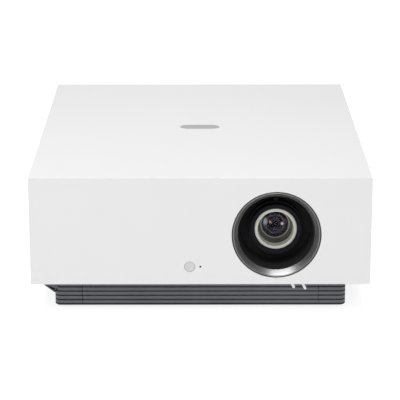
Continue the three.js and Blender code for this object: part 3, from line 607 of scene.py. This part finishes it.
cell = {"outer": 21.8, "front": 20.2, "steps": ((17.6, 30), (16.2, 32.5), (14.9, 35), (13.8, 37.5)),
        "stepLength": 2.5, "rabbet": 0.4, "rabbetDepth": 0.5,
        "oliveFrom": 29.5, "creamLip": 0.25}
front, outer, rabbetDepth = cell["front"], cell["outer"], cell["rabbetDepth"]
inner = []
for radius, start in cell["steps"]:
    lipEdge = radius + cell["rabbet"]
    inner += [(lipEdge, start), (lipEdge, start + rabbetDepth), (radius, start + rabbetDepth),
              (radius, start + cell["stepLength"])]
piece = spun([
    (19.3, front), (21.2, front + 0.75), (21.6, front + 1.0), (outer, front + 1.4), (outer, 40),
    *inner[::-1], (19.8, 30), (19.8, 24.2), (18.4, 24.2), (18.4, 21.2), (18.6, 20.6),
    (18.9, front + 0.1),
], 128)
# deeper than oliveFrom the walls are painted dark olive as shade deep in the cell, and only the
# forward-facing ledge lips keep the cream
for finish in ("cellCream", "cellOlive"):
    piece.data.materials.append(paint[finish])
for face in piece.data.polygons:
    depth = (face.center.y - frontFace) / mm
    if depth > cell["oliveFrom"]:
        faced = abs(face.normal.y) > 0.5
        lit = faced and depth % cell["stepLength"] < cell["creamLip"]
        face.material_index = 0 if lit else 1
finishPiece(piece, "frontCellRing", None, "focus_group", 25)
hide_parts("front_lens_cell")


def dome(radius, edge, bulge, steps):
    return [(radius * i / steps, edge - bulge * (1 - (i / steps) ** 2)) for i in range(steps + 1)]


def lensElement(name, node, body, radius, front, rear, frontBulge, rearBulge, glass):
    outline = dome(radius, front, frontBulge, 14) + dome(radius, rear, rearBulge, 14)[::-1]
    element = spun(outline, 96)
    finishPiece(element, name, paint[glass], body, 40)
    if node:
        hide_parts(node)


lensElement("frontLensGlass", "front_lens", "focus_group", 19.5, 24.6, 29.6, 3, 2, "frontGlass")
lensElement("secondLensGlass", None, "focus_group", 13.5, 38.2, 38.8, 2.4, 0.3, "coatedGlass")
lensElement("zoomLensGlass", "zoom_lens", "zoom_group", 12.9, 51, 58, 1.8, -1.2, "innerGlass")
lensElement("rearLensGlass", "rear_lens", "horizontal_carriage", 12.7, 84, 92, 1.5, -1.5, "innerGlass")

# the ring that holds the second element, and the stop behind it
piece = spun([
    (12.6, 37.7), (12.8, 37.55), (13.4, 37.55), (13.65, 37.7), (13.65, 38.1), (12.6, 38.1),
], 96)
finishPiece(piece, "lensRetainerRing", paint["ringBlueBlack"], "focus_group", 25)
paintedReflectionRadius = 10.6  # mm, inside this the stop's face is painted mauve as a reflection off the lens coatings
piece = spun([
    (8.6, 39.2), (8.9, 39.0), (10.5, 38.9), (10.7, 39.0), (13.6, 39.1), (13.6, 39.9), (8.6, 39.9),
], 96)
for finish in ("funnelBlack", "irisMauve"):
    piece.data.materials.append(paint[finish])
for face in piece.data.polygons:
    around = math.hypot(face.center.x - lensMiddle.x, face.center.z - lensMiddle.z) / mm
    face.material_index = 1 if around < paintedReflectionRadius else 0
finishPiece(piece, "irisStop", None, "focus_group", 25)
print("projector: lens")


# windows in the front face, and the shift levers

eyeMiddle = middleOf("remote_eye_window")
piece = spun([(0, 0.28), (4.2, 0.3), (4.9, 0.22), (5.2, 0.24), (5.3, 0.4), (5.3, 3), (0, 3)],
             64, (eyeMiddle.x, frontFace, eyeMiddle.z))
finishPiece(piece, "remoteEyeWindow", paint["windowPale"], "chassis")
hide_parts("remote_eye_window")

sensorMiddle = middleOf("light_sensor_window")
piece = spun([(0, 0.3), (0.7, 0.32), (0.9, 0.5), (0.9, 3), (0, 3)], 32,
             (sensorMiddle.x, frontFace, sensorMiddle.z))
finishPiece(piece, "lightSensorWindow", paint["smokedPlastic"], "chassis")
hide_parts("light_sensor_window")

for way in ("vertical", "horizontal"):
    refinedCopy(f"{way}_shift_lever", f"{way}ShiftThumbLever", paint["leverWhite"],
                f"{way}_shift_lever", 0.2)
print("projector: windows and levers")


# the sockets at the back: eased CAD shells, each with its tongue and contacts
for node, name, finish, slotName, edge in (
        ("io_bay", "ioBayTub", "plinthGrey", "dark_plastic", 0.25),
        ("lan_port", "lanPortShell", "portSteel", "port_steel", 0.12),
        ("hdmi_port_1", "hdmiPortShell1", "portSteel", "port_steel", 0.12),
        ("hdmi_port_2", "hdmiPortShell2", "portSteel", "port_steel", 0.12),
        ("usb_port", "usbPortShell", "portSteel", "port_steel", 0.12),
        ("optical_audio_port", "opticalPortShell", "innerBlack", "black_plastic", 0.15),
        ("headphone_jack", "headphoneJackBody", "innerBlack", "black_plastic", 0.15),
        ("mains_inlet", "mainsInletBody", "innerBlack", "black_plastic", 0.25)):
    refinedCopy(node, name, paint[finish], "chassis", edge)

# up is from the middle of the port, in mm, and the contacts sit on the side that face gives
hdmiTongue = {"wide": 11.4, "thick": 1.5, "up": 0.3, "contacts": 9, "pitch": 1.0, "strip": 0.5,
              "face": 1}
tongues = {
    "lan_port": {"wide": 11.6, "thick": 2.6, "up": 3.0, "contacts": 8, "pitch": 1.02,
                 "strip": 0.45, "face": -1},
    "hdmi_port_1": hdmiTongue,
    "hdmi_port_2": hdmiTongue,
    "usb_port": {"wide": 11.2, "thick": 1.8, "up": 1.0, "contacts": 4, "pitch": 2.4,
                 "strip": 1.1, "face": -1},
}
# depths behind the port's mouth
reach = {"tongueRoot": 11.9, "tongueTip": 2.2, "stripRoot": 11, "stripTip": 2.6}
stripThick = 0.12
for node, tongue in tongues.items():
    middle = middleOf(node) / mm
    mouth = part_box(node)[1].y / mm
    base = middle.z + tongue["up"]
    halfWide, halfThick = tongue["wide"] / 2, tongue["thick"] / 2
    piece = roundBlock((middle.x - halfWide, mouth - reach["tongueRoot"], base - halfThick),
                       (middle.x + halfWide, mouth - reach["tongueTip"], base + halfThick), 0.2)
    finishPiece(piece, node + "Tongue", paint["innerBlack"], "chassis")
    surface = base + tongue["face"] * halfThick
    first = middle.x - tongue["pitch"] * (tongue["contacts"] - 1) / 2
    halfStrip = tongue["strip"] / 2
    strip = roundBlock((first - halfStrip, mouth - reach["stripRoot"], surface - stripThick),
                       (first + halfStrip, mouth - reach["stripTip"], surface + stripThick), 0.05, 1)
    strips = [copyOf(strip, (tongue["pitch"] * i, 0, 0)) for i in range(1, tongue["contacts"])]
    finishPiece(joinAll([strip] + strips), node + "Contacts", paint["contactGold"], "chassis")

jackHeight = 6  # mm, from the bottom of the jack to the middle of its hole
jackLow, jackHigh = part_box("headphone_jack")
jackMiddle = ((jackLow.x + jackHigh.x) / 2, jackHigh.y, jackLow.z + jackHeight * mm)
piece = spun([
    (1.85, 0.0), (2.0, -0.06), (2.7, -0.06), (2.85, 0.0), (2.85, 0.15), (1.85, 0.15),
], 40, jackMiddle)
finishPiece(piece, "headphoneJackWasher", paint["contactGold"], "chassis")

# bright blades over the three pins of the mains inlet
inletLow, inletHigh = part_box("mains_inlet")
inletX, inletZ = (inletLow.x + inletHigh.x) / 2 / mm, (inletLow.z + inletHigh.z) / 2 / mm
inletY = inletHigh.y / mm
blade = {"halfX": 1.08, "halfZ": 2.08, "tip": 4.9, "root": 16.9,
         "pins": ((-7, -2), (7, -2), (0, 2.5))}
blades = []
for across, up in blade["pins"]:
    x, z = inletX + across, inletZ + up
    blades.append(roundBlock((x - blade["halfX"], inletY - blade["root"], z - blade["halfZ"]),
                             (x + blade["halfX"], inletY - blade["tip"], z + blade["halfZ"]), 0.45, 3))
finishPiece(joinAll(blades), "mainsInletBlades", paint["portSteel"], "chassis")

# joystick: a dished thumb cap in a cup with an eased rim
refinedCopy("joystick_housing", "joystickCup", paint["plinthGrey"], "chassis",
            0.25, 2, 25)
capLow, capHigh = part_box("joystick_cap")
capMiddle = ((capLow.x + capHigh.x) / 2, capHigh.y, (capLow.z + capHigh.z) / 2)
piece = spun([
    (0, -0.75), (1.6, -0.72), (2.9, -0.5), (3.4, -0.15), (3.8, 0), (5.7, 0), (6.2, -0.2),
    (6.5, -0.55), (6.6, -0.95), (6.6, -2.0), (6.1, -2.6), (3.6, -2.6), (3.6, -8.1), (2.1, -8.1),
    (2.1, -2.6), (0, -2.6),
], 72, capMiddle)
finishPiece(piece, "joystickThumbCap", paint["plinthGrey"], "joystick_cap")
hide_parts("joystick_cap")

# screws under the plinth, and brass inserts in the four ceiling bosses
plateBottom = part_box("plinth_base_plate")[0].z
screw = {"radius": 3.0, "socket": 1.35, "deep": 0.9, "sunk": 0.15,
         "across": (-100, 0, 100), "along": (-172, 172)}
radius, socket, deep = screw["radius"], screw["socket"], screw["deep"]
screwProfile = [
    (0, deep), (socket, deep), (socket, 0.05), (socket + 0.15, -0.05), (radius - 0.5, 0.05),
    (radius, 0.45), (radius, 1.6), (0, 1.6),
]
underScrews = [spun(screwProfile, 28, (x * mm, y * mm, plateBottom + screw["sunk"] * mm), "Z")
               for y in screw["along"] for x in screw["across"]]
finishPiece(joinAll(underScrews), "plinthScrews", paint["screwBlack"], "chassis")
insertAside = 4  # mm, from a boss's mount point to its hole
insertProfile = [(1.5, 0.35), (1.65, 0.2), (1.8, 0.2), (1.95, 0.35), (1.95, 7), (1.5, 7)]
inserts = []
for mount in frame["record"]["mounts"]:
    if mount["name"].startswith("ceiling_boss"):
        x, y, z = mount["pos_m"]
        inserts.append(spun(insertProfile, 32, (x - insertAside * mm, y, z), "Z"))
finishPiece(joinAll(inserts), "ceilingInserts", paint["brassInsert"], "chassis")
print("projector: sockets, joystick and screws")


# inner parts keep their CAD shape and only get a finish

rest = {
    ("castMetal", "cast_metal"): ("lens_shift_base", "vertical_carriage", "horizontal_carriage",
                                  "light_engine_housing", "laser_module"),
    ("plainAluminium", "bare_aluminium"): ("phosphor_wheel", "laser_heatsink"),
    ("boardGreen", "circuit_board"): ("mirror_chip_board", "main_board", "power_board"),
    ("innerBlack", "black_plastic"): ("intake_fan_frame", "intake_fan_rotor", "exhaust_fan_frame",
                                      "exhaust_fan_rotor", "left_speaker", "right_speaker"),
    ("portSteel", "port_steel"): ("joystick_gimbal", "joystick_stem", "front_left_foot_screw",
                                  "front_right_foot_screw"),
    ("footRubber", "foot_rubber"): ("front_left_foot_disc", "front_right_foot_disc",
                                    "rear_left_foot", "rear_right_foot"),
}
for (finish, slotName), names in rest.items():
    for name in names:
        nodes[name].data.materials.clear()
        nodes[name].data.materials.append(paint[finish])
print("projector: remaining parts painted")


# floor, light and camera

studio = {
    "cameraPlace": (-0.00506, -1.91827, 0.64264),
    "lookDown": 16.909,
    "lookRight": 0.157,
    "lens": 159.7,
    "sky": 0.44,
    "floorSize": 60,
    "floorShade": 0.5,
    "floorGlow": 0.8,
    "farClip": 60,
}

clearSelection()
bpy.ops.mesh.primitive_plane_add(size=studio["floorSize"], location=(0, 2, 0))
floor = bpy.context.object
floor.name = "studioFloor"
bpy.ops.object.transform_apply(location=True, rotation=True, scale=True)
floorPaint, tree, shader = newMaterial("studioPaper", {"shine": 0.1})
place = addNode(tree, "TexCoord").outputs["Object"]
paper = noiseAt(tree, place, 3, 3)
pale = (studio["floorShade"],) * 3
tree.links.new(blended(tree, paper, pale, shade(pale, 1.01)), shader.inputs["Base Color"])
shader.inputs["Roughness"].default_value = 0.9
shader.inputs["Emission Color"].default_value = (1, 1, 1, 1)
shader.inputs["Emission Strength"].default_value = studio["floorGlow"]
floor.data.materials.append(floorPaint)

world = bpy.data.worlds.new("studioSky")
bpy.context.scene.world = world
world.use_nodes = True
sky = world.node_tree.nodes["Background"]
sky.inputs["Color"].default_value = (1, 1, 1, 1)
sky.inputs["Strength"].default_value = studio["sky"]

lamps = {
    "topSoftbox": {"place": (-0.2, -0.45, 2.0), "aim": (0.0, 0, 0.1), "size": 1.4, "power": 39},
    "frontSoftbox": {"place": (-0.5, -2.2, 1.3), "aim": (0.05, -0.2, 0.09), "size": 0.7, "power": 7},
}
for name, lamp in lamps.items():
    clearSelection()
    bpy.ops.object.light_add(type="AREA", location=lamp["place"])
    light = bpy.context.object
    light.name = name
    light.data.energy = lamp["power"]
    light.data.size = lamp["size"]
    ray = Vector(lamp["aim"]) - Vector(lamp["place"])
    light.rotation_euler = ray.to_track_quat("-Z", "Y").to_euler()

clearSelection()
cameraTurn = (math.radians(90 - studio["lookDown"]), 0, -math.radians(studio["lookRight"]))
bpy.ops.object.camera_add(location=studio["cameraPlace"], rotation=cameraTurn)
camera = bpy.context.object
camera.name = "shotCamera"
camera.data.lens = studio["lens"]
camera.data.sensor_width = 36
camera.data.clip_end = studio["farClip"]
bpy.context.scene.camera = camera
bpy.context.scene.view_settings.view_transform = "Standard"
clearSelection()

print("projector: scene ready")
